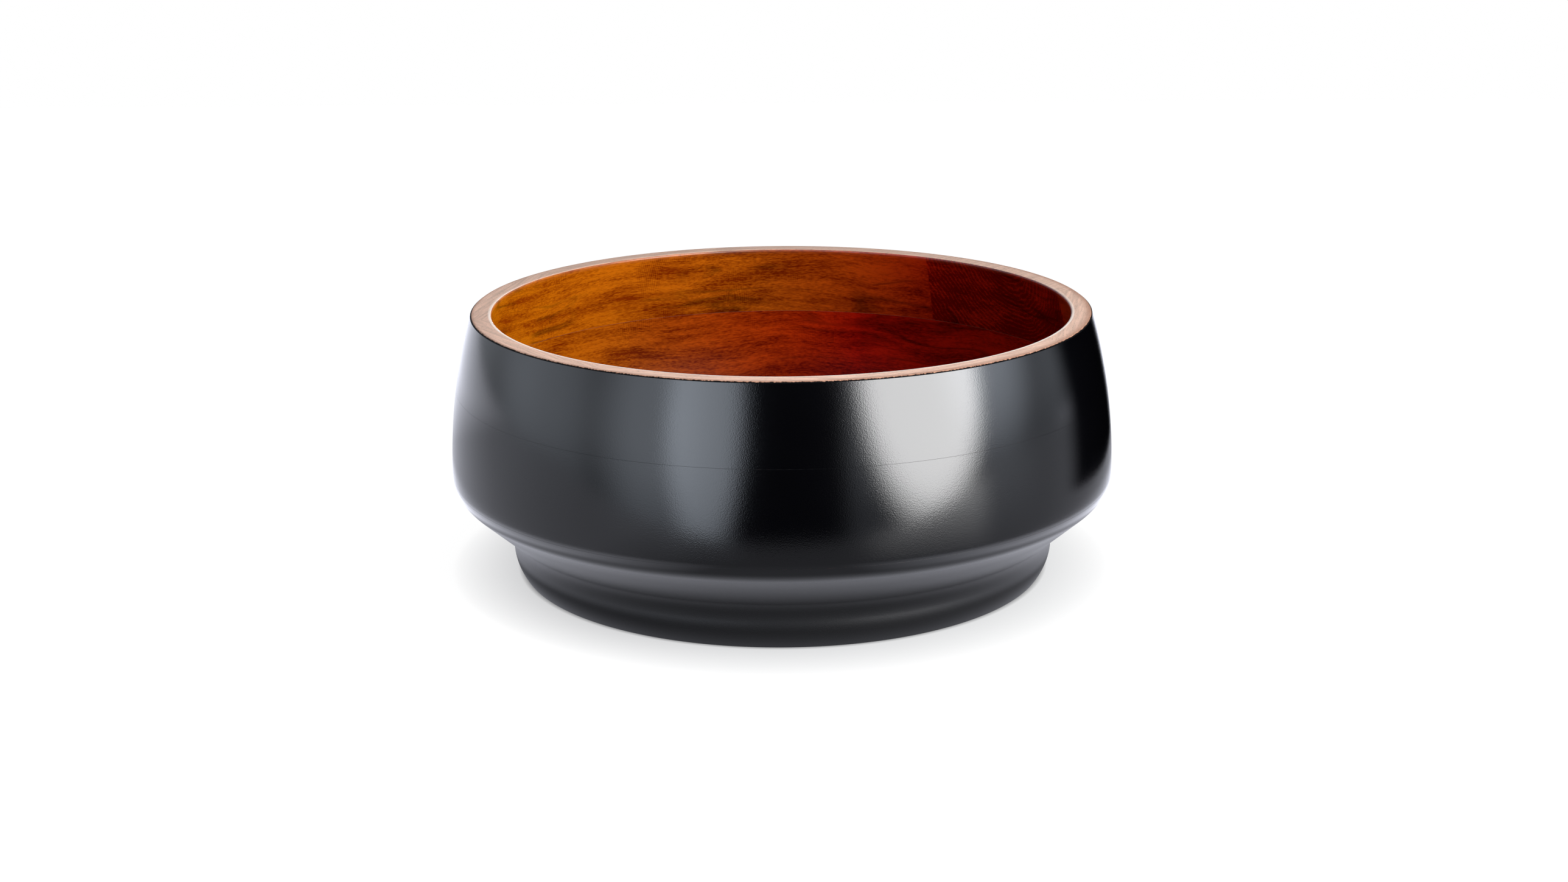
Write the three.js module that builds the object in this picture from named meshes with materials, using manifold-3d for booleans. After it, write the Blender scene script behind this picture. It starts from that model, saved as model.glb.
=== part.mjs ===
// Turned wooden salad bowl. Two brick-bonded courses of mitred segments stand on a base of
// edge-glued boards, and the whole blank is turned to one section: foot, cove, shoulder,
// leaning wall, flat rim and a rounded inside. Millimetres, +Z up, the rest face at z = 0.

import * as THREE from 'three';
import { mergeVertices } from 'three/addons/utils/BufferGeometryUtils.js';
import Module from 'manifold-3d';

// Outside of the turned section
const height = 118.5;           // rest face to rim
const rimRadius = 138.9;        // outside edge of the rim
const bellyRadius = 149.7;      // widest point
const bellyHeight = 46.4;       // height of the widest point
const shoulderRadius = 11.5;    // round under the belly
const coveRadius = 13.3;        // hollow between the underside and the foot
const neckRadius = 123.4;       // where the cove runs into the foot
const neckHeight = 12;          // height of that place
const footRadius = 119.5;       // edge of the rest face
const rimEdgeBreak = 0.6;       // sanded outside edge of the rim

// Inside and underside of the turned section
const wallThickness = 9.2;      // square to the wall
const rimRound = 1.6;           // round on the inside edge of the rim
const insideCornerRadius = 60;  // wall to floor
const floorThickness = 11.5;    // floor over the recess
const recessRadius = 96;        // shallow recess turned inside the foot
const recessDepth = 2.5;

// Glued-up blank
const lowerGlueHeight = 44.6;   // base course to wall course
const upperGlueHeight = 85;     // wall course to rim course
const segmentCount = 8;         // mitred segments in each of the two upper courses
const rimJointAngle = 33.75;    // degrees, one joint of the rim course, from the back towards +X
const boardCount = 5;           // boards of the base, running along X
const glueLine = 0.2;           // film of glue between two pieces
const turningAllowance = 4;     // wood of the blank that the lathe takes away

// Facets
const turnSteps = 80;
const footSteps = 4;
const coveSteps = 6;
const shoulderSteps = 6;
const wallSteps = 8;
const rimRoundSteps = 3;
const insideWallSteps = 4;
const insideCornerSteps = 10;

// Finishes, one for each kind of piece
const finishes = {
  rim: { color: 0xa85e28, roughness: 0.38, metalness: 0 },
  wall: { color: 0x7a2c0e, roughness: 0.32, metalness: 0 },
  base: { color: 0x17181b, roughness: 0.34, metalness: 0 },
};

const wasm = await Module();
wasm.setup();

const point = (radius, z) => new THREE.Vector2(radius, z);

// Points on an arc about a centre, angles in radians from the outward radius.
function arc(centre, radius, from, to, steps) {
  return Array.from({ length: steps + 1 }, (_, i) => {
    const angle = from + ((to - from) * i) / steps;
    return point(centre.x + radius * Math.cos(angle), centre.y + radius * Math.sin(angle));
  });
}

// The arc that is upright at start and passes through end. Its radius is negative where the
// arc bends outwards.
function uprightArc(start, end) {
  const inwards = start.x - end.x;
  const rise = end.y - start.y;
  const radius = (rise * rise + inwards * inwards) / (2 * inwards);
  const sweep = 2 * Math.atan2(inwards, Math.abs(rise)) * Math.sign(rise);
  return { centre: point(start.x - radius, start.y), radius, sweep };
}

// Points round the corner between a and b, tangent to both sides.
function roundCorner(a, corner, b, steps) {
  return new THREE.QuadraticBezierCurve(a, corner, b).getPoints(steps);
}

// Foot, cove, shoulder and wall, from the rest face up to the rim.
const wall = uprightArc(point(bellyRadius, bellyHeight), point(rimRadius, height));
function outsideProfile() {
  const foot = uprightArc(point(neckRadius, neckHeight), point(footRadius, 0));
  const shoulderCentre = point(bellyRadius - shoulderRadius, bellyHeight);
  const coveCentre = point(neckRadius + coveRadius, neckHeight);

  // The straight underside touches both rounds, and slope is how far it faces down.
  const span = shoulderCentre.clone().sub(coveCentre);
  const slope = Math.acos(-(shoulderRadius + coveRadius) / span.length()) - span.angle();

  const edge = arc(wall.centre, wall.radius, 0, wall.sweep, wallSteps);
  const edgeTop = edge.pop();
  const edgeBelow = edgeTop.clone().lerp(edge.at(-1), rimEdgeBreak / edgeTop.distanceTo(edge.at(-1)));
  return [
    ...arc(foot.centre, foot.radius, foot.sweep, 0, footSteps),
    ...arc(coveCentre, coveRadius, Math.PI, Math.PI - slope, coveSteps).slice(1),
    ...arc(shoulderCentre, shoulderRadius, -slope, 0, shoulderSteps),
    ...edge.slice(1),
    edgeBelow,
    point(rimRadius - rimEdgeBreak, height),
  ];
}

// Rim round, wall and floor corner, from the rim down to the floor.
function insideProfile() {
  const floorHeight = recessDepth + floorThickness;
  const radius = wall.radius - wallThickness;
  const cornerHeight = floorHeight + insideCornerRadius;
  const toCorner = radius - insideCornerRadius;
  const turn = Math.asin((cornerHeight - bellyHeight) / toCorner);
  const cornerCentre = point(wall.centre.x + toCorner * Math.cos(turn), cornerHeight);

  const top = Math.asin((height - bellyHeight) / radius);
  const side = arc(wall.centre, radius, top, turn, insideWallSteps);
  const sharpEdge = side.shift();
  const roundEnd = sharpEdge.clone().lerp(side[0], rimRound / sharpEdge.distanceTo(side[0]));
  const roundStart = point(sharpEdge.x + rimRound, height);
  return [
    ...roundCorner(roundStart, sharpEdge, roundEnd, rimRoundSteps),
    ...side,
    ...arc(cornerCentre, insideCornerRadius, turn, -Math.PI / 2, insideCornerSteps).slice(1),
    point(0, floorHeight),
  ];
}

// A closed mesh made solid for cutting.
function solid(geometry) {
  geometry.deleteAttribute('normal');
  geometry.deleteAttribute('uv');
  const merged = mergeVertices(geometry);
  return new wasm.Manifold(new wasm.Mesh({
    numProp: 3,
    vertProperties: new Float32Array(merged.attributes.position.array),
    triVerts: new Uint32Array(merged.index.array),
  }));
}

// The turned bowl as the lathe leaves it, before it is taken apart into its pieces.
function turnedBowl() {
  const section = [
    point(0, recessDepth),
    point(recessRadius - recessDepth, recessDepth),
    point(recessRadius, 0),
    ...outsideProfile(),
    ...insideProfile(),
  ];
  return solid(new THREE.LatheGeometry(section, turnSteps).rotateX(Math.PI / 2));
}

// A mitred block of the blank: a wedge of the ring between two joints, cut back by half a
// glue line on every glued face.
function segmentBlock(startAngle, bottom, top) {
  const half = Math.PI / segmentCount;
  const outer = bellyRadius + turningAllowance;
  const inner = (rimRadius - 2 * wallThickness) * Math.cos(half) - turningAllowance;
  const mitre = (x) => x * Math.tan(half) - glueLine / 2 / Math.cos(half);
  const outline = new THREE.Shape([
    point(inner, -mitre(inner)),
    point(outer, -mitre(outer)),
    point(outer, mitre(outer)),
    point(inner, mitre(inner)),
  ]);
  const block = new THREE.ExtrudeGeometry(outline, { depth: top - bottom, bevelEnabled: false });
  return block.translate(0, 0, bottom).rotateZ(startAngle + half);
}

// A straight board of the base, as long as the blank.
function boardBlock(index) {
  const blankWidth = 2 * (bellyRadius + turningAllowance);
  const width = blankWidth / boardCount;
  const depth = lowerGlueHeight - glueLine / 2 + turningAllowance;
  const board = new THREE.BoxGeometry(blankWidth, width - glueLine, depth);
  const y = (index + 0.5) * width - blankWidth / 2;
  return board.translate(0, y, depth / 2 - turningAllowance);
}

const bowl = turnedBowl();

// What the lathe leaves of one block of the blank.
function turnedPiece(name, block, finish) {
  const cut = solid(block).intersect(bowl).getMesh();
  const geometry = new THREE.BufferGeometry();
  geometry.setAttribute('position', new THREE.BufferAttribute(new Float32Array(cut.vertProperties), 3));
  geometry.setIndex(new THREE.BufferAttribute(new Uint32Array(cut.triVerts), 1));
  geometry.computeVertexNormals();
  const mesh = new THREE.Mesh(geometry, new THREE.MeshStandardMaterial(finish));
  mesh.name = name;
  return mesh;
}

// One course of segments, numbered from firstJoint anticlockwise as seen from above.
function course(name, firstJoint, bottom, top, finish) {
  const group = new THREE.Group();
  const step = (2 * Math.PI) / segmentCount;
  for (let i = 0; i < segmentCount; i += 1) {
    const block = segmentBlock(firstJoint + i * step, bottom, top);
    group.add(turnedPiece(`${name}_segment_${i + 1}`, block, finish));
  }
  return group;
}

// Joints of the rim course, and of the wall course half a segment further round.
const rimJoint = THREE.MathUtils.degToRad(90 - rimJointAngle);
const wallJoint = rimJoint + Math.PI / segmentCount;
const halfGlue = glueLine / 2;

const base = new THREE.Group();
for (let i = 0; i < boardCount; i += 1) {
  base.add(turnedPiece(`base_board_${i + 1}`, boardBlock(i), finishes.base));
}

const saladBowl = new THREE.Group();
saladBowl.add(
  base,
  course('wall', wallJoint, lowerGlueHeight + halfGlue, upperGlueHeight - halfGlue, finishes.wall),
  course('rim', rimJoint, upperGlueHeight + halfGlue, height + turningAllowance, finishes.rim),
);

export default saladBowl;
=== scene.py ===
"""Turned wooden salad bowl, glued up from courses of segments on a base of boards.

The outside is sprayed with black lacquer, the inside is varnished and the flat rim is bare. Every
piece is turned to its own stretch of one section, with Geometry Nodes.
"""

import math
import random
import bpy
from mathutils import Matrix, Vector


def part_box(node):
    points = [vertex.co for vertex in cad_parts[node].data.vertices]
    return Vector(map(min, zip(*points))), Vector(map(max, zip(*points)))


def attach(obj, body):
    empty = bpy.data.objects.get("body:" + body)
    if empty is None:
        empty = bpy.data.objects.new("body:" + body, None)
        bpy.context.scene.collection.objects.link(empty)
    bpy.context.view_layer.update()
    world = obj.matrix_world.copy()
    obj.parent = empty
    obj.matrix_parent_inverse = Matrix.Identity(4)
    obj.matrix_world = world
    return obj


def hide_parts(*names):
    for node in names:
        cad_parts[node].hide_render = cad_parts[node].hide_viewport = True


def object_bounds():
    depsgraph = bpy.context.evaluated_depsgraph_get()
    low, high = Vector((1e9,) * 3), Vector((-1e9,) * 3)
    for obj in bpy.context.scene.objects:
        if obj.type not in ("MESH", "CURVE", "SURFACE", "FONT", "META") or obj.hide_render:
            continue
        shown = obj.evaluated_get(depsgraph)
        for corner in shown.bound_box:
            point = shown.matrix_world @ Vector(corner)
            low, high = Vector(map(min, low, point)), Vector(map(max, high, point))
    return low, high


bl_info = {
    "name": "Turned Salad Bowl",
    "version": (1, 0, 0),
    "blender": (4, 5, 0),
    "location": "View3D > Sidebar > Salad Bowl",
    "description": "Builds a glued-up, turned, lacquered and varnished wooden salad bowl",
    "category": "Add Mesh",
}

from functools import partial

import bpy
from bpy.props import FloatProperty, FloatVectorProperty, IntProperty, PointerProperty
from mathutils import Matrix, Vector

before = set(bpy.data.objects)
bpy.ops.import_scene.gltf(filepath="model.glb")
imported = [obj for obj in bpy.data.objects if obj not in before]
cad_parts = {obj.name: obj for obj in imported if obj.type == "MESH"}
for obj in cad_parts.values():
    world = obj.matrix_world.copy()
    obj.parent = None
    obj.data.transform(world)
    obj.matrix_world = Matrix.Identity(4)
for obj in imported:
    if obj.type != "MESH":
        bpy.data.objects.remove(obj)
CAD_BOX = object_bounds()

MM = 0.001
WELD = 0.001 * MM   # points this close are one
PHOTO_WIDTH = 2576

# Steps of the stretches of the section, outside and then inside
FOOT_STEPS, COVE_STEPS, SHOULDER_STEPS, WALL_STEPS = 10, 18, 18, 48
ROUND_STEPS, SIDE_STEPS, CORNER_STEPS = 8, 32, 44

# Steps of the rounded inside edge of the rim that are left bare
BARE_STEPS = 3

# How far the turned steps of a segment crowd towards its joints, from 0, evenly spaced, to 1
CROWDING = 0.95

# Distance between the waves of a wave texture at scale 1
WAVE_GAP = 0.314

# Zones of the turned section, and the inputs that hold their finishes
LACQUER, RIM, VARNISH, JOINT = range(4)
FINISHES = ("Lacquer", "Bare Rim", "Varnish", "Joint")


def nodes_named(start):
    """The names of the frame's nodes that start so, in the order of their numbers."""
    return sorted((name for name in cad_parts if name.startswith(start)), key=lambda n: (len(n), n))


def linear(hex_colour):
    """An sRGB hex colour as linear RGB."""
    channels = (int(hex_colour[i:i + 2], 16) / 255 for i in (1, 3, 5))
    return tuple(c / 12.92 if c <= 0.04045 else ((c + 0.055) / 1.055) ** 2.4 for c in channels)


def glue_height(below, above):
    """The middle of the glue line between two courses of the frame."""
    return (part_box(below)[1].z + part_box(above)[0].z) / 2


LOWER_GLUE = glue_height("base_board_3", "wall_segment_1")
UPPER_GLUE = glue_height("wall_segment_1", "rim_segment_1")


def Length(name, description, default):
    """A property that holds a length."""
    return FloatProperty(name=name, description=description, default=default, unit="LENGTH")


def Colour(name, description, hex_colour):
    """A property that holds a colour."""
    return FloatVectorProperty(
        name=name, description=description, default=linear(hex_colour), subtype="COLOR")


def Tones(name, default):
    """A property that holds how red the wood is at both ends of each of eight segments: partly the wood's
    own tone, partly painted shade, redder and darker where the inside faces away from the key light.
    """
    return FloatVectorProperty(
        name=name, size=16, min=0, max=2, default=default,
        description="Golden, 0, brown or red, 1, at both ends of each segment; past 1 it is red sooner")


class BowlSizes(bpy.types.PropertyGroup):
    """The turned section and the joints of the blank."""

    height: Length("Height", "Rest face to rim", CAD_BOX[1].z)
    rim_radius: Length("Rim Radius", "Outside edge of the rim", 138.9 * MM)
    belly_radius: Length("Belly Radius", "Widest point", CAD_BOX[1].x)
    belly_height: Length("Belly Height", "Height of the widest point", 46.4 * MM)
    shoulder_radius: Length("Shoulder Radius", "Round under the belly", 11.5 * MM)
    cove_radius: Length("Cove Radius", "Hollow above the foot", 13.3 * MM)
    neck_radius: Length("Neck Radius", "Where the cove meets the foot", 123.4 * MM)
    neck_height: Length("Neck Height", "Height of that place", 12 * MM)
    foot_radius: Length("Foot Radius", "Edge of the rest face", 119.5 * MM)
    rim_edge: Length("Rim Edge", "Sanded outside edge of the rim", 0.6 * MM)
    wall: Length("Wall", "Thickness square to the wall", 9.2 * MM)
    rim_round: Length("Rim Round", "Round on the inside edge", 1.6 * MM)
    corner_radius: Length("Inside Corner", "Round from wall to floor", 60 * MM)
    floor: Length("Floor", "Thickness of the floor", 11.5 * MM)
    recess_radius: Length("Recess Radius", "Recess inside the foot", 96 * MM)
    recess_depth: Length("Recess Depth", "Depth of that recess", 2.5 * MM)
    lower_glue: Length("Lower Glue Line", "Base to wall course", LOWER_GLUE)
    upper_glue: Length("Upper Glue Line", "Wall to rim course", UPPER_GLUE)
    groove: Length("Glue Groove", "Glued edge broken outside", 0.045 * MM)
    glue_edge: Length("Glue Edge", "Glued edge that shows inside", 0.06 * MM)
    rim_joint: FloatProperty(
        name="Rim Joint", description="One joint of the rim course, from the back towards +X",
        default=math.radians(33.75), subtype="ANGLE")
    turn_steps: IntProperty(
        name="Turn Steps", description="Steps in a full turn", default=360, min=16)
    seed: IntProperty(
        name="Seed", description="Where the boards and courses were sawn from their planks", default=7)


class BowlColours(bpy.types.PropertyGroup):
    """The finishes' colours, and how red the wood of each segment is, partly its own tone and partly
    painted shade.
    """

    lacquer: Colour("Lacquer", "Black lacquer", "#020203")
    rim: Colour("Bare Rim", "Sanded bare wood", "#dfbaa5")
    # The colour of a painted highlight along the front of the rim's inside edge
    rim_inside_highlight: Colour("Rim Inside Highlight", "Palest inside edge", "#fff4ea")
    rim_edge: Colour("Rim Edge", "Wood stained by the lacquer", "#8a5230")
    pores: Colour("Pores", "Open pores and specks", "#43281c")
    glue: Colour("Glue", "Wood soaked with glue", "#5f4030")
    gold_light: Colour("Gold Light", "Pale streaks, golden wood", "#b46804")
    gold_dark: Colour("Gold Dark", "Dark streaks, golden wood", "#7c2f00")
    brown_light: Colour("Brown Light", "Pale streaks, brown wood", "#924308")
    brown_dark: Colour("Brown Dark", "Dark streaks, brown wood", "#521500")
    red_light: Colour("Red Light", "Pale streaks, red wood", "#941203")
    red_dark: Colour("Red Dark", "Dark streaks, red wood", "#540000")
    # The tones run from golden on the left to red on the right: partly the wood's own tone, partly painted
    # shade on the right of the inside, which faces away from the key light
    rim_tones_and_shade: Tones("Rim Tones and Shade", (
        0.93, 0.4, 0.42, 0.26, 0.22, 0.03, 0.0, 0.2, 0.2, 0.4, 0.4, 0.6, 0.6, 0.9, 1.0, 0.97))
    wall_tones_and_shade: Tones("Wall Tones and Shade", (
        0.95, 0.48, 0.44, 0.12, 0.0, 0.05, 0.05, 0.3, 0.3, 0.5, 0.5, 0.8, 0.9, 1.0, 1.4, 0.95))


# Turned section, as points (radius, height)

def arc(centre, radius, start, end, steps):
    """Points on an arc, angles from the outward radius."""
    angles = (start + (end - start) * i / steps for i in range(steps + 1))
    return [Vector((centre.x + radius * math.cos(a), centre.y + radius * math.sin(a))) for a in angles]


def upright_arc(start, end):
    """Centre, radius and sweep of the arc that is upright at start and passes through end."""
    inwards = start.x - end.x
    rise = end.y - start.y
    radius = (rise * rise + inwards * inwards) / (2 * inwards)
    sweep = 2 * math.atan2(inwards, abs(rise)) * math.copysign(1, rise)
    return Vector((start.x - radius, start.y)), radius, sweep


def outside_profile(sizes):
    """Foot, cove, shoulder and wall, from the rest face up to the rim."""
    neck = Vector((sizes.neck_radius, sizes.neck_height))
    belly = Vector((sizes.belly_radius, sizes.belly_height))
    foot_centre, foot_radius, foot_sweep = upright_arc(neck, Vector((sizes.foot_radius, 0)))
    wall_centre, wall_radius, wall_sweep = upright_arc(belly, Vector((sizes.rim_radius, sizes.height)))
    shoulder_centre = belly - Vector((sizes.shoulder_radius, 0))
    cove_centre = neck + Vector((sizes.cove_radius, 0))

    # The straight underside touches both rounds, and slope is how far it faces down
    span = shoulder_centre - cove_centre
    reach = sizes.shoulder_radius + sizes.cove_radius
    slope = math.acos(-reach / span.length) - math.atan2(span.y, span.x)

    edge_sweep = wall_sweep - sizes.rim_edge / wall_radius
    return [
        *arc(foot_centre, foot_radius, foot_sweep, 0, FOOT_STEPS),
        *arc(cove_centre, sizes.cove_radius, math.pi, math.pi - slope, COVE_STEPS)[1:],
        *arc(shoulder_centre, sizes.shoulder_radius, -slope, 0, SHOULDER_STEPS),
        *arc(wall_centre, wall_radius, 0, edge_sweep, WALL_STEPS)[1:],
        Vector((sizes.rim_radius - sizes.rim_edge, sizes.height)),
    ]


def inside_profile(sizes):
    """Rim round, wall and corner, from the rim down to the middle of the floor."""
    belly = Vector((sizes.belly_radius, sizes.belly_height))
    centre, outside_radius, _ = upright_arc(belly, Vector((sizes.rim_radius, sizes.height)))
    radius = outside_radius - sizes.wall
    floor_height = sizes.recess_depth + sizes.floor
    corner_height = floor_height + sizes.corner_radius
    to_corner = radius - sizes.corner_radius
    turn = math.asin((corner_height - belly.y) / to_corner)
    corner_centre = Vector((centre.x + to_corner * math.cos(turn), corner_height))

    top = math.asin((sizes.height - belly.y) / radius)
    round_end = top - sizes.rim_round / radius
    sharp_edge = arc(centre, radius, top, top, 1)[0]
    side = arc(centre, radius, round_end, turn, SIDE_STEPS)
    round_start = sharp_edge + Vector((sizes.rim_round, 0))
    rim_round = [
        round_start.lerp(sharp_edge, share).lerp(sharp_edge.lerp(side[0], share), share)
        for share in (i / ROUND_STEPS for i in range(ROUND_STEPS))
    ]
    corner = arc(corner_centre, sizes.corner_radius, turn, -math.pi / 2, CORNER_STEPS)
    return [*rim_round, *side, *corner[1:], Vector((0, floor_height))]


def at_height(profile, height):
    """The point of a profile at a height."""
    for a, b in zip(profile, profile[1:]):
        if min(a.y, b.y) <= height <= max(a.y, b.y) and a.y != b.y:
            return a.lerp(b, (height - a.y) / (b.y - a.y))
    raise ValueError(f"the profile doesn't reach {height}")


def stretch(profile, low, high):
    """The points of a profile between two heights that it crosses, with its points at both."""
    ends = [at_height(profile, low), at_height(profile, high)]
    if profile[0].y > profile[-1].y:
        ends.reverse()
    between = [p for p in profile if low < p.y < high]
    return [ends[0], *between, ends[1]]


def wall_section(sizes):
    """The section of the wall course, as points and the zone of the edge that leaves each."""
    outside, inside = outside_profile(sizes), inside_profile(sizes)
    groove, edge, low, high = sizes.groove, sizes.glue_edge, sizes.lower_glue, sizes.upper_glue
    *varnished, last = stretch(inside, low + edge, high - edge)
    return [
        *((p, LACQUER) for p in stretch(outside, low + groove, high - groove)),
        (at_height(outside, high) - Vector((groove, 0)), JOINT),
        (at_height(inside, high) + Vector((edge, 0)), JOINT),
        *((p, VARNISH) for p in varnished),
        (last, JOINT),
        (at_height(inside, low) + Vector((edge, 0)), JOINT),
        (at_height(outside, low) - Vector((groove, 0)), LACQUER),
    ]


def rim_section(sizes):
    """The section of the rim course, in the same form."""
    outside, inside = outside_profile(sizes), inside_profile(sizes)
    groove, edge, low = sizes.groove, sizes.glue_edge, sizes.upper_glue
    return [
        (at_height(outside, low + groove), LACQUER),
        *((p, LACQUER) for p in outside[:-2] if p.y > low + groove),
        *((p, RIM) for p in outside[-2:]),
        *((p, RIM) for p in inside[:BARE_STEPS]),
        *((p, VARNISH) for p in inside[BARE_STEPS:] if p.y > low + edge),
        (at_height(inside, low + edge), JOINT),
        (at_height(inside, low) + Vector((edge, 0)), JOINT),
        (at_height(outside, low) - Vector((groove, 0)), LACQUER),
    ]


def base_section(sizes):
    """The section of the base, from the recess under it round to the inside floor."""
    outside, inside = outside_profile(sizes), inside_profile(sizes)
    groove, edge, high, recess = sizes.groove, sizes.glue_edge, sizes.lower_glue, sizes.recess_depth
    return [
        (Vector((0, recess)), LACQUER),
        (Vector((sizes.recess_radius - recess, recess)), LACQUER),
        (Vector((sizes.recess_radius, 0)), LACQUER),
        *((p, LACQUER) for p in outside if p.y < high - groove),
        (at_height(outside, high - groove), LACQUER),
        (at_height(outside, high) - Vector((groove, 0)), JOINT),
        (at_height(inside, high) + Vector((edge, 0)), JOINT),
        (at_height(inside, high - edge), VARNISH),
        *((p, VARNISH) for p in inside if p.y < high - edge),
    ]


# Node trees

def add_node(tree, kind, inputs=(), **settings):
    """Add a node with its settings, and with values or links on its inputs, by name or in their order.

    A node stands for its first output, a list for several links to one input, and a colour is linear RGB.
    Of a node's sockets, only those count that its settings leave in use.
    """
    node = tree.nodes.new(kind)
    for name, value in settings.items():
        setattr(node, name, value)
    if isinstance(inputs, dict):
        pairs = [(node.inputs[name], value) for name, value in inputs.items()]
    else:
        pairs = zip([socket for socket in node.inputs if socket.enabled], inputs)
    for socket, given in pairs:
        for value in given if isinstance(given, list) else [given]:
            if isinstance(value, bpy.types.Node):
                value = next(output for output in value.outputs if output.enabled)
            if isinstance(value, bpy.types.NodeSocket):
                tree.links.new(value, socket)
            else:
                socket.default_value = (*value, 1) if socket.type == "RGBA" else value
    return node


def new_tree(name, sockets):
    """An empty Geometry Nodes tree with named inputs, what adds nodes to it, and what it is given."""
    tree = bpy.data.node_groups.new(name, "GeometryNodeTree")
    for socket, kind in sockets:
        tree.interface.new_socket(name=socket, in_out="INPUT", socket_type=f"NodeSocket{kind}")
    tree.interface.new_socket(name="Mesh", in_out="OUTPUT", socket_type="NodeSocketGeometry")
    add = partial(add_node, tree)
    return tree, add, add("NodeGroupInput").outputs


def turned_skin_tree():
    """Turns a section about Z: a grid whose columns are the section's points, rolled round."""
    tree, add, given = new_tree("Turned skin", [
        ("Section", "Geometry"), ("Start Angle", "Float"), ("Sweep", "Float"), ("Steps", "Int"),
        ("Crowding", "Float")])
    section = given["Section"]
    position = add("GeometryNodeInputPosition")
    count = add("GeometryNodeAttributeDomainSize", {"Geometry": section}).outputs["Point Count"]
    columns = add("FunctionNodeIntegerMath", (count, 1), operation="ADD")
    rows = add("FunctionNodeIntegerMath", (given["Steps"], 1), operation="ADD")
    grid = add("GeometryNodeMeshGrid", {
        "Size X": 1.0, "Size Y": 1.0, "Vertices X": columns, "Vertices Y": rows})

    # Share of the way along the section and round the turn, 0 to 1
    x, y, _ = add("ShaderNodeSeparateXYZ", (position,)).outputs
    along = add("ShaderNodeMath", (x, 0.5), operation="ADD")
    round_share = add("ShaderNodeMath", (y, 0.5), operation="ADD")
    column = add("ShaderNodeMath", (along, count), operation="MULTIPLY")

    # A face takes the zone of its column, and a point takes the place of its column's nearest point
    face_column = add("FunctionNodeFloatToInt", (column,), rounding_mode="FLOOR")
    zone = add("GeometryNodeInputNamedAttribute", {"Name": "zone"}, data_type="INT")
    face_zone = add("GeometryNodeSampleIndex", {
        "Geometry": section, "Value": zone, "Index": face_column}, data_type="INT", domain="POINT")
    zoned = add("GeometryNodeStoreNamedAttribute", {
        "Geometry": grid, "Name": "zone", "Value": face_zone}, data_type="INT", domain="FACE")
    point_column = add("FunctionNodeFloatToInt", (column,), rounding_mode="ROUND")
    wrapped = add("FunctionNodeIntegerMath", (point_column, count), operation="MODULO")
    section_place = add("GeometryNodeSampleIndex", {
        "Geometry": section, "Value": position, "Index": wrapped},
        data_type="FLOAT_VECTOR", domain="POINT")

    # The steps crowd towards both ends, so that the shading runs straight on across a joint
    turn = add("ShaderNodeMath", (round_share, math.tau), operation="MULTIPLY")
    wave = add("ShaderNodeMath", (turn,), operation="SINE")
    swing = add("ShaderNodeMath", (wave, -1 / math.tau), operation="MULTIPLY")
    crowded = add("ShaderNodeMath", (swing, given["Crowding"], round_share), operation="MULTIPLY_ADD")
    angle = add("ShaderNodeMath", (
        crowded, given["Sweep"], given["Start Angle"]), operation="MULTIPLY_ADD")
    turned = add("ShaderNodeVectorRotate", {
        "Vector": section_place, "Angle": angle}, rotation_type="Z_AXIS")
    placed = add("GeometryNodeSetPosition", {"Geometry": zoned, "Position": turned})
    skin = add("GeometryNodeFlipFaces", {"Mesh": placed})
    add("NodeGroupOutput", {"Mesh": skin})
    return tree


def store_wood(add, mesh, given):
    """Store where each point was in its plank, in millimetres with the fibres along X, and its tone."""
    place = add("GeometryNodeInputPosition")
    in_mm = add("ShaderNodeVectorMath", (place, 1 / MM), operation="SCALE")
    back = add("ShaderNodeMath", (given["Middle"], -1.0), operation="MULTIPLY")
    squared = add("ShaderNodeVectorRotate", {"Vector": in_mm, "Angle": back}, rotation_type="Z_AXIS")
    sawn = squared
    for axis, turn in (("Z", "Grain Turn"), ("Y", "Grain Tilt"), ("X", "Grain Roll")):
        sawn = add("ShaderNodeVectorRotate", {
            "Vector": sawn, "Angle": given[turn]}, rotation_type=f"{axis}_AXIS")
    in_plank = add("ShaderNodeVectorMath", (sawn, given["Plank Place"]), operation="ADD")

    # The tone runs from one joint to the next
    x, y, _ = add("ShaderNodeSeparateXYZ", (squared,)).outputs
    angle = add("ShaderNodeMath", (y, x), operation="ARCTAN2")
    half = add("ShaderNodeMath", (given["Sweep"], 0.5), operation="MULTIPLY")
    other_half = add("ShaderNodeMath", (half, -1.0), operation="MULTIPLY")
    tone = add("ShaderNodeMapRange", (angle, other_half, half, given["Tone"], given["End Tone"]))

    for name, value, kind in (
            ("grain", in_plank, "FLOAT_VECTOR"), ("tone", tone, "FLOAT"),
            ("end_grain", given["End Grain"], "FLOAT")):
        mesh = add("GeometryNodeStoreNamedAttribute", {
            "Geometry": mesh, "Name": name, "Value": value}, data_type=kind, domain="POINT")
    return mesh


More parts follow.
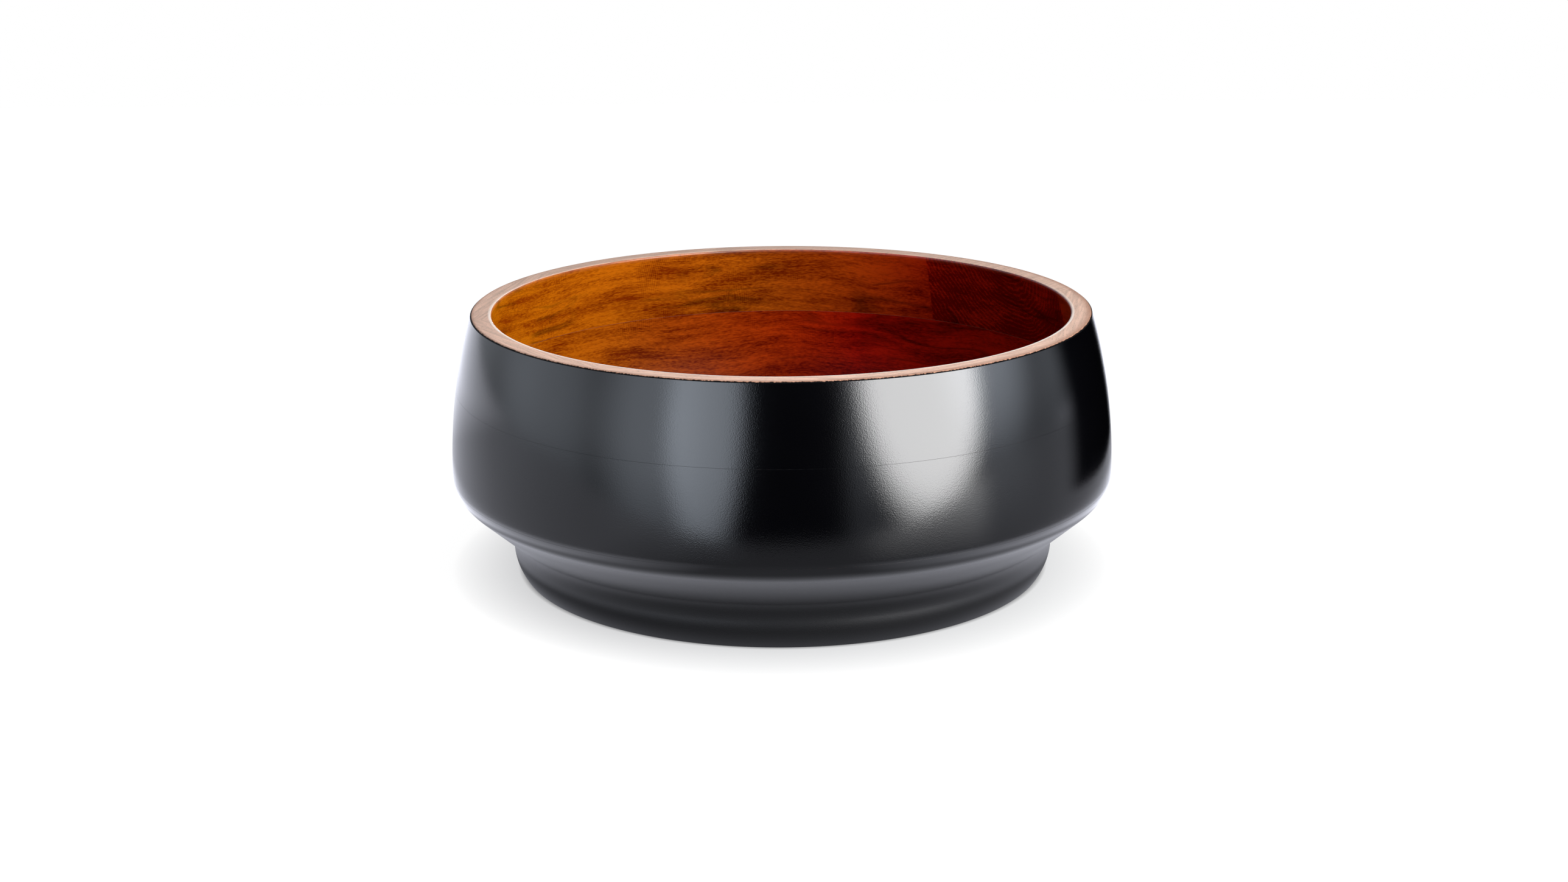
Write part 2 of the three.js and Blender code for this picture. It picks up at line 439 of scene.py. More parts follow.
def finish_tree(add, mesh, given):
    """Shade the mesh smooth but for its sharp edges, and give each zone its finish."""
    sharp_angle = math.radians(25)
    angle = add("GeometryNodeInputMeshEdgeAngle").outputs["Unsigned Angle"]
    sharp = add("FunctionNodeCompare", (angle, sharp_angle), operation="GREATER_THAN")
    smooth = add("GeometryNodeSetShadeSmooth", {"Geometry": mesh}, domain="FACE")
    shaded = add("GeometryNodeSetShadeSmooth", {
        "Geometry": smooth, "Selection": sharp, "Shade Smooth": False}, domain="EDGE")
    mesh = add("GeometryNodeRealizeInstances", {"Geometry": store_wood(add, shaded, given)})
    zone = add("GeometryNodeInputNamedAttribute", {"Name": "zone"}, data_type="INT")
    for number, finish in enumerate(FINISHES):
        chosen = add("FunctionNodeCompare", (zone, number), data_type="INT", operation="EQUAL")
        mesh = add("GeometryNodeSetMaterial", {
            "Geometry": mesh, "Selection": chosen, "Material": given[finish]})
    add("NodeGroupOutput", {"Mesh": mesh})


WOOD_SOCKETS = [
    *((name, "Float") for name in (
        "Middle", "Sweep", "Grain Turn", "Grain Tilt", "Grain Roll", "Tone", "End Tone", "End Grain")),
    ("Plank Place", "Vector"), *((finish, "Material") for finish in FINISHES)]


def turned_segment_tree(skin_group):
    """A mitred segment: its section turned from one joint to the next, closed by a face at each."""
    tree, add, given = new_tree("Turned segment", [
        ("Section", "Geometry"), ("Steps", "Int"), *WOOD_SOCKETS])
    half = add("ShaderNodeMath", (given["Sweep"], 0.5), operation="MULTIPLY")
    start = add("ShaderNodeMath", (given["Middle"], half), operation="SUBTRACT")
    end = add("ShaderNodeMath", (given["Middle"], half), operation="ADD")
    skin = add("GeometryNodeGroup", {
        "Section": given["Section"], "Start Angle": start, "Sweep": given["Sweep"],
        "Steps": given["Steps"], "Crowding": CROWDING}, node_tree=skin_group)

    # The section's own face closes both ends, and the far one is turned over
    end_zone = add("GeometryNodeStoreNamedAttribute", {
        "Geometry": given["Section"], "Name": "zone", "Value": JOINT}, data_type="INT", domain="FACE")
    ends = []
    for angle in (start, end):
        turn = add("ShaderNodeCombineXYZ", {"Z": angle})
        ends.append(add("GeometryNodeTransform", {"Geometry": end_zone, "Rotation": turn}))
    far_end = add("GeometryNodeFlipFaces", {"Mesh": ends[1]})
    joined = add("GeometryNodeJoinGeometry", {"Geometry": [skin, ends[0], far_end]})
    welded = add("GeometryNodeMergeByDistance", {"Geometry": joined, "Distance": WELD})
    finish_tree(add, welded, given)
    return tree


def turned_board_tree(skin_group):
    """A base board: the whole base turned from its section, cut down to one board of the blank."""
    tree, add, given = new_tree("Turned board", [
        ("Section", "Geometry"), ("Steps", "Int"), ("Board Size", "Vector"), ("Board Place", "Vector"),
        *WOOD_SOCKETS])
    skin = add("GeometryNodeGroup", {
        "Section": given["Section"], "Sweep": math.tau, "Steps": given["Steps"]}, node_tree=skin_group)
    welded = add("GeometryNodeMergeByDistance", {"Geometry": skin, "Distance": WELD})
    board = add("GeometryNodeMeshCube", {"Size": given["Board Size"]})
    placed = add("GeometryNodeTransform", {"Geometry": board, "Translation": given["Board Place"]})
    zoned = add("GeometryNodeStoreNamedAttribute", {
        "Geometry": placed, "Name": "zone", "Value": JOINT}, data_type="INT", domain="FACE")
    cut = add("GeometryNodeMeshBoolean", {
        "Mesh 2": [welded, zoned]}, operation="INTERSECT", solver="MANIFOLD")
    finish_tree(add, cut, given)
    return tree


# Finishes

def new_material(name):
    """An empty material, and what adds nodes to it."""
    material = bpy.data.materials.new(name)
    material.use_nodes = True
    material.node_tree.nodes.clear()
    return material, partial(add_node, material.node_tree)


def marks(add, grain, long, wide, thick, detail=2.0):
    """Marks in the wood, drawn out along its grain to this length, width and thickness in millimetres."""
    place = add("ShaderNodeVectorMath", (grain, (1 / long, 1 / wide, 1 / thick)), operation="MULTIPLY")
    return add("ShaderNodeTexNoise", {"Vector": place, "Scale": 1.0, "Detail": detail})


def black_lacquer(name, sizes, colours):
    """Sprayed black lacquer: near black, satin below the belly, rubbed to a soft gloss above it."""
    material, add = new_material(name)
    grain = add("ShaderNodeAttribute", attribute_name="grain").outputs["Vector"]
    place = add("ShaderNodeTexCoord").outputs["Object"]

    # The spray leaves a skin of fine grains 0.45 mm across, over all the joints
    grains = add("ShaderNodeTexNoise", {"Vector": place, "Scale": 1 / (0.45 * MM), "Detail": 1.0})
    sprayed = add("ShaderNodeBump", {"Distance": 0.022 * MM, "Height": grains})

    # The fibres of the wood, 1 mm wide and 25 mm long, show faintly through it
    fibres = marks(add, grain, 25, 1, 1)
    bump = add("ShaderNodeBump", {"Distance": 0.003 * MM, "Height": fibres, "Normal": sprayed})

    # Rubbing leaves soft patches 25 mm across a little duller
    patches = add("ShaderNodeTexNoise", {"Vector": place, "Scale": 1 / (25 * MM), "Detail": 2.0})
    rubbed = add("ShaderNodeMapRange", (patches, 0, 1, 0.1, 0.14))

    # Below the belly it is left as it was sprayed
    _, _, z = add("ShaderNodeSeparateXYZ", (place,)).outputs
    roughness = add("ShaderNodeMapRange", (
        z, 0.7 * sizes.belly_height, sizes.belly_height, 0.36, rubbed))
    surface = add("ShaderNodeBsdfPrincipled", {
        "Base Color": colours.lacquer, "Roughness": roughness, "IOR": 1.5, "Normal": bump})
    add("ShaderNodeOutputMaterial", {"Surface": surface})
    return material


def varnished_wood(name, sizes, colours):
    """Oiled and varnished hardwood: mottle, bands, fibres, flecks, ripples, dark streaks, end grain."""
    material, add = new_material(name)
    grain = add("ShaderNodeAttribute", attribute_name="grain").outputs["Vector"]
    tone = add("ShaderNodeAttribute", attribute_name="tone").outputs["Fac"]
    end_grain = add("ShaderNodeAttribute", attribute_name="end_grain").outputs["Fac"]

    # Fibres wander up to 7 mm to either side over 70 mm
    wander = add("ShaderNodeTexNoise", {
        "Vector": grain, "Scale": 1 / 70, "Detail": 1.0}).outputs["Color"]
    bent = add("ShaderNodeVectorMath", (wander, (0, 14, 14), grain), operation="MULTIPLY_ADD")

    # Flat-sawn figure: length, width and thickness in millimetres, detail, and share of the lightness
    share = 0.0
    for long, wide, thick, detail, weight in (
            (45, 30, 10, 2.0, 0.34),       # mottle
            (50, 20, 2.5, 2.0, 0.18),      # bands
            (12, 4, 0.7, 2.0, 0.20),       # fibres
            (2.4, 1.2, 0.45, 1.0, 0.28)):  # flecks
        figure = marks(add, bent, long, wide, thick, detail)
        part = add("ShaderNodeMapRange", (figure, 0.3, 0.7, 0, weight))
        share = add("ShaderNodeMath", (share, part), operation="ADD")

    # Ripples across the fibres, 1.1 mm apart, in patches 22 mm wide and mostly in the golden wood
    ripples = add("ShaderNodeTexWave", {
        "Vector": bent, "Scale": WAVE_GAP / 1.1, "Distortion": 9.0, "Detail": 2.0, "Detail Scale": 0.3},
        wave_type="BANDS", bands_direction="X").outputs["Fac"]
    patches = add("ShaderNodeTexNoise", {"Vector": grain, "Scale": 1 / 22, "Detail": 1.0})
    in_patches = add("ShaderNodeMapRange", (patches, 0.52, 0.68), interpolation_type="SMOOTHSTEP")
    in_gold = add("ShaderNodeMapRange", (tone, 0, 0.7, 0.22, 0.05))
    ripple_share = add("ShaderNodeMath", (in_patches, in_gold), operation="MULTIPLY")
    from_middle = add("ShaderNodeMath", (ripples, 0.5), operation="SUBTRACT")
    rippled = add("ShaderNodeMath", (from_middle, ripple_share, share), operation="MULTIPLY_ADD")

    # End grain: wavy rings 2.2 mm apart round the heart, each a thin line
    rings = add("ShaderNodeTexWave", {
        "Vector": bent, "Scale": WAVE_GAP / 2.2, "Distortion": 14.0, "Detail": 5.0, "Detail Scale": 0.3,
        "Detail Roughness": 0.65}, wave_type="RINGS", rings_direction="X").outputs["Fac"]
    ring_lines = add("ShaderNodeMapRange", (rings, 0.5, 1, -0.25, 0))
    ringed = add("ShaderNodeMath", (ring_lines, end_grain, rippled), operation="MULTIPLY_ADD")
    lightness = add("ShaderNodeMapRange", (ringed, 0.26, 0.71))

    # Golden, brown or red wood by its tone, each from dark to light; a segment's tone also carries painted
    # shade, red and dark where the inside faces away from the key light
    to_brown = add("ShaderNodeMapRange", (tone, 0, 0.5))
    to_red = add("ShaderNodeMapRange", (tone, 0.5, 1))
    shades = []
    for gold, brown, red in (
            (colours.gold_dark, colours.brown_dark, colours.red_dark),
            (colours.gold_light, colours.brown_light, colours.red_light)):
        browned = add("ShaderNodeMix", (to_brown, gold, brown), data_type="RGBA")
        shades.append(add("ShaderNodeMix", (to_red, browned, red), data_type="RGBA"))
    wood = add("ShaderNodeMix", (lightness, shades[0], shades[1]), data_type="RGBA")

    # Thin dark streaks where a slow wave of the wood, 70 mm long and 10 mm thick, crosses its middle
    wave = marks(add, bent, 70, 40, 10, 1.0)
    off_middle = add("ShaderNodeMath", (wave, 0.5), operation="SUBTRACT")
    off_line = add("ShaderNodeMath", (off_middle,), operation="ABSOLUTE")
    lines = add("ShaderNodeMapRange", (off_line, 0, 0.05, 1, 0))
    here = add("ShaderNodeTexNoise", {"Vector": grain, "Scale": 1 / 45})
    in_places = add("ShaderNodeMapRange", (here, 0.44, 0.56))
    streaks = add("ShaderNodeMath", (lines, in_places), operation="MULTIPLY")
    streak_tone = add("ShaderNodeMapRange", (streaks, 0, 1, 1, 0.5))
    streaked = add("ShaderNodeVectorMath", (wood, streak_tone), operation="SCALE")

    # Pores 0.35 mm wide and 2.5 mm long, filled dark
    pores = marks(add, grain, 2.5, 0.35, 0.35)
    pore_tone = add("ShaderNodeMapRange", (pores, 0.58, 0.75, 1, 0.7))
    colour = add("ShaderNodeVectorMath", (streaked, pore_tone), operation="SCALE")
    bump = add("ShaderNodeBump", {"Distance": 0.01 * MM, "Height": pores})

    # The varnish stands thick and glossy on the rounded edge of the rim, and soaks in below it
    place = add("ShaderNodeTexCoord").outputs["Object"]
    _, _, z = add("ShaderNodeSeparateXYZ", (place,)).outputs
    round_end = sizes.height - sizes.rim_round
    gloss = add("ShaderNodeMapRange", (z, round_end - 0.5 * sizes.rim_round, round_end, 0.02, 0.6))
    surface = add("ShaderNodeBsdfPrincipled", {
        "Base Color": colour, "Roughness": 0.38, "IOR": 1.5, "Specular IOR Level": gloss, "Normal": bump})
    add("ShaderNodeOutputMaterial", {"Surface": surface})
    return material


def bare_rim(name, sizes, colours):
    """Sanded bare hardwood: pale and matt, short dark pores, stained where the lacquer's edge ran in, with
    painted light at the front, painted shade at the back and a painted highlight along the front of the
    inside edge.
    """
    material, add = new_material(name)
    grain = add("ShaderNodeAttribute", attribute_name="grain").outputs["Vector"]
    place = add("ShaderNodeTexCoord").outputs["Object"]
    _, y, _ = add("ShaderNodeSeparateXYZ", (place,)).outputs

    # Pale streaks 1.3 mm wide, and painted light and shade that makes the rim lighter at the front and
    # darker towards the back
    streaks = marks(add, grain, 18, 1.3, 1.3, 4.0)
    streak_tone = add("ShaderNodeMapRange", (streaks, 0.3, 0.7, 0.76, 1.14))
    streaked = add("ShaderNodeVectorMath", (tuple(colours.rim), streak_tone), operation="SCALE")
    painted_front_light = add("ShaderNodeMapRange", (y, -sizes.rim_radius, sizes.rim_radius, 1.12, 0.83))
    pale = add("ShaderNodeVectorMath", (streaked, painted_front_light), operation="SCALE")

    # Pores 0.35 mm wide and 1.6 mm long
    pores = marks(add, grain, 1.6, 0.35, 0.35)
    pore_share = add("ShaderNodeMapRange", (pores, 0.58, 0.76, 0, 0.6))
    porous = add("ShaderNodeMix", (pore_share, pale, colours.pores), data_type="RGBA")
    bump = add("ShaderNodeBump", {"Distance": 0.02 * MM, "Height": pores})

    # Distance in from the outside edge in millimetres, made ragged by half a millimetre
    flat = add("ShaderNodeVectorMath", (place, (1, 1, 0)), operation="MULTIPLY")
    radius = add("ShaderNodeVectorMath", (flat,), operation="LENGTH")
    depth = add("ShaderNodeMath", (sizes.rim_radius, radius), operation="SUBTRACT")
    depth_mm = add("ShaderNodeMath", (depth, 1 / MM), operation="MULTIPLY")
    uneven = add("ShaderNodeTexNoise", {"Vector": grain, "Scale": 1 / 0.8, "Detail": 3.0})
    from_middle = add("ShaderNodeMath", (uneven, 0.5), operation="SUBTRACT")
    ragged = add("ShaderNodeMath", (from_middle, 1.1, depth_mm), operation="MULTIPLY_ADD")

    # The stain runs in about 4 mm on the front right and 2 mm elsewhere, specks of lacquer half of one
    front_right = Vector((0.8, -0.6, 0)) / sizes.rim_radius
    towards = add("ShaderNodeVectorMath", (place, front_right), operation="DOT_PRODUCT")
    reach = add("ShaderNodeMapRange", (towards, -0.2, 0.9, 1.8, 4.2))
    share_in = add("ShaderNodeMath", (ragged, reach), operation="DIVIDE")
    stain = add("ShaderNodeMapRange", (share_in, 0.1, 1, 0.75, 0))
    specks = add("ShaderNodeMapRange", (ragged, 0.3, 0.6, 1, 0))

    # A painted highlight makes the inside edge palest along the front
    width = (sizes.rim_radius - inside_profile(sizes)[0].x) / MM
    at_inside = add("ShaderNodeMapRange", (depth_mm, width - 0.5, width))
    at_front = add("ShaderNodeMapRange", (y, -0.5 * sizes.rim_radius, 0.4 * sizes.rim_radius, 1, 0))
    painted_highlight = add("ShaderNodeMath", (at_inside, at_front), operation="MULTIPLY")
    colour = porous
    for part, shade in ((painted_highlight, colours.rim_inside_highlight), (stain, colours.rim_edge), (specks, colours.lacquer)):
        colour = add("ShaderNodeMix", (part, colour, shade), data_type="RGBA")

    # The rubbed edge of the lacquer has lost its gloss
    gloss = add("ShaderNodeMapRange", (specks, 0, 1, 0.5, 0.05))
    surface = add("ShaderNodeBsdfPrincipled", {
        "Base Color": colour, "Roughness": 0.7, "IOR": 1.5, "Specular IOR Level": gloss, "Normal": bump})
    add("ShaderNodeOutputMaterial", {"Surface": surface})
    return material


def glued_face(name, _sizes, colours):
    """Planed hardwood soaked with glue inside the joints: matt, greyed, with the same fibres."""
    material, add = new_material(name)
    grain = add("ShaderNodeAttribute", attribute_name="grain").outputs["Vector"]

    # Fibres 2 mm wide and 30 mm long
    fibres = marks(add, grain, 30, 2, 2, 4.0)
    colour = add("ShaderNodeMix", (fibres, colours.brown_dark, colours.glue), data_type="RGBA")
    surface = add("ShaderNodeBsdfPrincipled", {"Base Color": colour, "Roughness": 0.7, "IOR": 1.45})
    add("ShaderNodeOutputMaterial", {"Surface": surface})
    return material


def finishes(scene):
    """The finish of each zone, by the name of its input, made once."""
    makers = (
        ("sprayed black lacquer", black_lacquer), ("sanded bare hardwood", bare_rim),
        ("varnished hardwood", varnished_wood), ("glued hardwood", glued_face))
    return {
        finish: bpy.data.materials.get(name) or make(name, scene.bowl_sizes, scene.bowl_colours)
        for finish, (name, make) in zip(FINISHES, makers)}


# Pieces

def section_mesh(section):
    """A section as one flat face in the XZ plane, with the zone of each edge on its first point."""
    mesh = bpy.data.meshes.new("section")
    mesh.from_pydata([(p.x, 0, p.y) for p, _ in section], [], [range(len(section))])
    zones = mesh.attributes.new("zone", "INT", "POINT")
    zones.data.foreach_set("value", [zone for _, zone in section])
    return mesh


def make_piece(node, section, tree, values):
    """Turn one piece from its section, as a plain mesh that stands for its node of the frame."""
    source = bpy.data.objects.new("source", section_mesh(section))
    bpy.context.scene.collection.objects.link(source)
    modifier = source.modifiers.new("Turned", "NODES")
    modifier.node_group = tree
    identifiers = {s.name: s.identifier for s in tree.interface.items_tree if s.in_out == "INPUT"}
    for name, value in values.items():
        modifier[identifiers[name]] = value
    graph = bpy.context.evaluated_depsgraph_get()
    mesh = bpy.data.meshes.new_from_object(source.evaluated_get(graph), depsgraph=graph)
    bpy.data.objects.remove(source)
    if not mesh.polygons:
        raise RuntimeError(f"{node} came out empty")
    mesh.name = f"turned_{node}"
    piece = bpy.data.objects.new(f"turned_{node}", mesh)
    bpy.context.scene.collection.objects.link(piece)
    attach(piece, "root")
    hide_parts(node)


def skin_tree():
    """The tree that turns a section, made once."""
    return bpy.data.node_groups.get("Turned skin") or turned_skin_tree()


def plank_place(draw):
    """Where a piece was sawn from its plank, in millimetres along it and from its heart."""
    return (draw.uniform(0, 900), draw.uniform(20, 70), draw.uniform(-90, 90))


def make_course(scene, name, section, first_joint, tones, across):
    """One course of segments, numbered from its first joint anticlockwise as seen from above.

    They were sawn one after the other from one plank, but for those named in across, with their fibres
    across the ring: each with the turn of its fibres and the place of its heart, in millimetres.
    """
    sizes = scene.bowl_sizes
    nodes = nodes_named(f"{name}_segment_")
    sweep = math.tau / len(nodes)
    tree = bpy.data.node_groups.get("Turned segment") or turned_segment_tree(skin_tree())
    draw = random.Random(f"{sizes.seed} {name}")
    first_place = Vector(plank_place(draw))
    chord = 2 * (sizes.rim_radius - sizes.wall) * math.sin(sweep / 2) / MM
    for number, node in enumerate(nodes):
        # The two ends of the plank meet at the front, half a turn from the first joint
        order = (number + len(nodes) // 2) % len(nodes)
        place = first_place - Vector((order * chord, 0, 0))
        turn, heart = across.get(node, (0.0, None))
        make_piece(node, section, tree, {
            "Steps": sizes.turn_steps // len(nodes), "Middle": first_joint + (number + 0.5) * sweep,
            "Sweep": sweep, "Grain Turn": math.pi / 2 + turn,
            "Grain Tilt": math.radians(draw.uniform(-0.3, 0.3)), "Grain Roll": 0.0,
            "Plank Place": heart or place,
            "Tone": tones[2 * number], "End Tone": tones[2 * number + 1],
            "End Grain": float(node in across), **finishes(scene)})


class SALAD_BOWL_OT_base_boards(bpy.types.Operator):
    """Turn the edge-glued boards of the base, with the cove and the foot"""

    bl_idname = "salad_bowl.base_boards"
    bl_label = "Base Boards"

    def execute(self, context):
        scene = context.scene
        sizes = scene.bowl_sizes
        section = base_section(sizes)
        tree = turned_board_tree(skin_tree())
        draw = random.Random(f"{sizes.seed} base")
        nodes = nodes_named("base_board_")
        boxes = [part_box(node) for node in nodes]
        joints = [(a[1].y + b[0].y) / 2 for a, b in zip(boxes, boxes[1:])]
        allowance = 10 * MM
        edges = [-sizes.belly_radius - allowance, *joints, sizes.belly_radius + allowance]
        length = 2 * (sizes.belly_radius + allowance)
        depth = sizes.lower_glue + 2 * allowance
        for node, front, back in zip(nodes, edges, edges[1:]):
            tone = draw.uniform(0.1, 0.4)
            make_piece(node, section, tree, {
                "Steps": sizes.turn_steps, "Board Size": (length, back - front, depth),
                "Board Place": (0, (front + back) / 2, sizes.lower_glue / 2),
                "Middle": 0.0, "Sweep": math.tau, "Grain Turn": 0.0,
                "Grain Tilt": math.radians(draw.uniform(-1.5, 1.5)), "Grain Roll": math.pi / 2,
                "Plank Place": plank_place(draw), "Tone": tone, "End Tone": tone, "End Grain": 0.0,
                **finishes(scene)})
        return {"FINISHED"}


class SALAD_BOWL_OT_wall_course(bpy.types.Operator):
    """Turn the middle course, eight mitred segments"""

    bl_idname = "salad_bowl.wall_course"
    bl_label = "Wall Course"

    def execute(self, context):
        scene = context.scene
        sizes = scene.bowl_sizes
        half_segment = math.pi / len(nodes_named("wall_segment_"))
        first_joint = math.pi / 2 - sizes.rim_joint + half_segment
        make_course(scene, "wall", wall_section(sizes), first_joint,
                    scene.bowl_colours.wall_tones_and_shade, {})
        return {"FINISHED"}


class SALAD_BOWL_OT_rim_course(bpy.types.Operator):
    """Turn the top course, eight mitred segments with the bare rim"""

    bl_idname = "salad_bowl.rim_course"
    bl_label = "Rim Course"

    def execute(self, context):
        scene = context.scene
        sizes = scene.bowl_sizes

        # One segment was sawn with its fibres across the ring
        across = {"rim_segment_8": (math.radians(70), (0, -52, -134))}
        make_course(scene, "rim", rim_section(sizes), math.pi / 2 - sizes.rim_joint,
                    scene.bowl_colours.rim_tones_and_shade, across)
        return {"FINISHED"}


class SALAD_BOWL_OT_stage(bpy.types.Operator):
    """Set the white table, the soft lights, the black cards and the camera"""

    bl_idname = "salad_bowl.stage"
    bl_label = "Stage"

    def execute(self, context):
        scene = context.scene
        scene.view_settings.view_transform = "Standard"
        make_floor(scene)
        make_world(scene)
        make_lights(scene)
        make_camera(scene)
        return {"FINISHED"}


# Stage, its places in metres

def make_floor(scene):
    """A table that is seen white but for painted soft shade round the bowl, and that shows in the lacquer
    as a painted reflection, a glow seen only in reflections.
    """
    left, right, front, back = -1.4, 1.4, -0.36, 1.6
    mesh = bpy.data.meshes.new("white_table")
    corners = [(left, front, 0), (right, front, 0), (right, back, 0), (left, back, 0)]
    mesh.from_pydata(corners, [], [range(4)])
    floor = bpy.data.objects.new("white_table", mesh)
    scene.collection.objects.link(floor)
    material, add = new_material("white table")
    place = add("ShaderNodeTexCoord").outputs["Object"]
    x, y, _ = add("ShaderNodeSeparateXYZ", (place,)).outputs
    distance = add("ShaderNodeVectorMath", (place,), operation="LENGTH")
    path = add("ShaderNodeLightPath").outputs

    # Seen white, but for a painted thin contact shadow at the foot and painted soft shade close round it,
    # darker to the left
    round_foot = add("ShaderNodeMapRange", (distance, 0.12, 0.18, 0.96, 1))
    lit = add("ShaderNodeMapRange", (distance, 0.119, 0.122, 0.3, round_foot))
    open_sky = add("ShaderNodeAmbientOcclusion", {"Distance": 0.032}).outputs["AO"]
    to_right = add("ShaderNodeMapRange", (x, -0.08, 0.12))
    shadow = add("ShaderNodeMix", (to_right, linear("#bcbcbe"), linear("#cbcccd")), data_type="RGBA")
    shade = add("ShaderNodeMix", (open_sky, shadow, linear("#ffffff")), data_type="RGBA")
    straight = add("ShaderNodeMath", (
        path["Is Camera Ray"], path["Is Transmission Ray"]), operation="MAXIMUM")
    seen = add("ShaderNodeMath", (straight, lit), operation="MULTIPLY")
    white = add("ShaderNodeEmission", {"Color": shade, "Strength": seen})

    # Painted reflection: a glow seen only in reflections, dark in front of the bowl, and lighter round
    # that, most of all on the left
    from_front = add("ShaderNodeVectorMath", (place, (0, -0.30, 0)), operation="DISTANCE")
    sides = add("ShaderNodeMapRange", (x, -0.12, 0.12, 0.85, 0.5))
    in_front = add("ShaderNodeMapRange", (from_front, 0.10, 0.24, 0.3, sides))

    # Under the bowl the painted reflection is dark where the foot mirrors the table, with a lighter painted
    # strip where the slope above it does
    from_foot = add("ShaderNodeMapRange", (distance, 0.121, 0.130, 0.5, 0.2))
    strip = add("ShaderNodeMapRange", (distance, 0.140, 0.170, 1.1, 0.2))
    from_slope = add("ShaderNodeMapRange", (path["Ray Length"], 0.020, 0.036, from_foot, strip))

    # The painted reflection is lighter to both sides of the bowl, and brightest far behind
    off_middle = add("ShaderNodeMath", (x,), operation="ABSOLUTE")
    beside = add("ShaderNodeMapRange", (off_middle, 0.05, 0.14, 0.4, 2.3))
    near = add("ShaderNodeMapRange", (distance, 0.155, 0.175, from_slope, beside))
    under = add("ShaderNodeMapRange", (distance, 0.20, 0.26, near, in_front))
    mirrored = add("ShaderNodeMapRange", (y, 0.20, 0.40, under, 1.9))
    glossy = add("ShaderNodeMath", (path["Is Glossy Ray"], mirrored), operation="MULTIPLY")
    glow = add("ShaderNodeEmission", {"Color": linear("#f0f2ff"), "Strength": glossy})
    dull = add("ShaderNodeBsdfDiffuse", {"Color": linear("#454545")})
    seen_dull = add("ShaderNodeAddShader", (dull, white))
    painted = add("ShaderNodeAddShader", (seen_dull, glow))

    # Its sheen carries the lamps on below the table's edge, and shows in the lacquer alone
    fresnel = add("ShaderNodeFresnel", {"IOR": 1.5})
    grazing = add("ShaderNodeMapRange", (fresnel, 0.18, 0.7, 0, 0.5))
    sheen = add("ShaderNodeMath", (grazing, path["Is Glossy Ray"]), operation="MULTIPLY")
    polish = add("ShaderNodeBsdfGlossy", {"Roughness": 0.25})
    surface = add("ShaderNodeMixShader", (sheen, painted, polish))
    add("ShaderNodeOutputMaterial", {"Surface": surface})
    mesh.materials.append(material)


def make_world(scene):
    """White where it is seen, a little darker in reflections below the table, dim as a light."""
    world = bpy.data.worlds.new("studio")
    world.use_nodes = True
    world.node_tree.nodes.clear()
    add = partial(add_node, world.node_tree)
    path = add("ShaderNodeLightPath").outputs
    direction = add("ShaderNodeTexCoord").outputs["Generated"]
    _, _, up = add("ShaderNodeSeparateXYZ", (direction,)).outputs
    mirrored = add("ShaderNodeMapRange", (up, -0.15, 0.05, 0.4, 0.88))
    seen = add("ShaderNodeMath", (
        path["Is Camera Ray"], path["Is Transmission Ray"]), operation="MAXIMUM")
    ambient = 0.12
    unlit = add("ShaderNodeMix", (path["Is Glossy Ray"], ambient, mirrored))
    strength = add("ShaderNodeMix", (seen, unlit, 1.0))
    colour = add("ShaderNodeMix", (
        path["Is Glossy Ray"], linear("#ffffff"), linear("#ecf3ff")), data_type="RGBA")
    white = add("ShaderNodeBackground", {"Color": colour, "Strength": strength})
    add("ShaderNodeOutputWorld", {"Surface": white})
    scene.world = world


def around(azimuth, distance, height):
    """A place round the bowl, the azimuth in degrees from the camera's side towards +X."""
    a = math.radians(azimuth)
    return Vector((distance * math.sin(a), -distance * math.cos(a), height))


def facing(place, target):
    """A matrix at a place whose -Z looks at the target."""
    turn = (target - place).to_track_quat("-Z", "Y")
    return Matrix.Translation(place) @ turn.to_matrix().to_4x4()


def soften(lamp, core):
    """Fade a lamp from its core, a share of its radius, out to its edge."""
    lamp.use_nodes = True
    lamp.node_tree.nodes.clear()
    add = partial(add_node, lamp.node_tree)
    place = add("ShaderNodeNewGeometry").outputs["Parametric"]
    flat = add("ShaderNodeVectorMath", (place, (1, 1, 0)), operation="MULTIPLY")
    off_middle = add("ShaderNodeVectorMath", (flat, (0.5, 0.5, 0)), operation="DISTANCE")
    bright = add("ShaderNodeMapRange", (
        off_middle, 0.5 * core, 0.5, 1, 0), interpolation_type="SMOOTHSTEP")
    glow = add("ShaderNodeEmission", {"Strength": bright})
    add("ShaderNodeOutputLight", {"Surface": glow})


